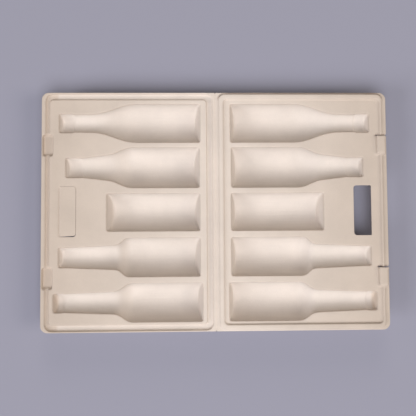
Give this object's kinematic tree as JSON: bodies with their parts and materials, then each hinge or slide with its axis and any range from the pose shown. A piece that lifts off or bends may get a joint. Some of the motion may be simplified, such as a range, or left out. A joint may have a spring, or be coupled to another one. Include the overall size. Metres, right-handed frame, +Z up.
{
  "type": "pulp bottle shipper insert",
  "caption": "Open hinged case of moulded pulp with paired half cavities for bottles, a rim groove and ridge, snap latches and hand holes.",
  "frame": {"origin": "on the fold line at its middle, on the plane that the open trays stand on", "axes": "+X across the fold towards the half with the rim ridge, +Y along the fold, +Z up out of the open trays"},
  "size_m": [0.556, 0.383, 0.0431],
  "materials": {
    "pulp": "matt fibre, slightly rough"
  },
  "bodies": {
    "left_half": {"left_tray": "pulp"},
    "right_half": {"right_tray": "pulp"},
    "flap": {"handle_flap": "pulp"}
  },
  "joints": [
    {"name": "fold", "type": "hinge", "parent": "left_half", "child": "right_half", "pos_m": [0, 0, 0.0373], "axis": [0, -1, 0], "range_deg": [0, 180]},
    {"name": "flap_crease", "type": "hinge", "parent": "left_half", "child": "flap", "pos_m": [-0.2487, 0, 0.03705], "axis": [0, -1, 0], "range_deg": [0, 90]}
  ]
}
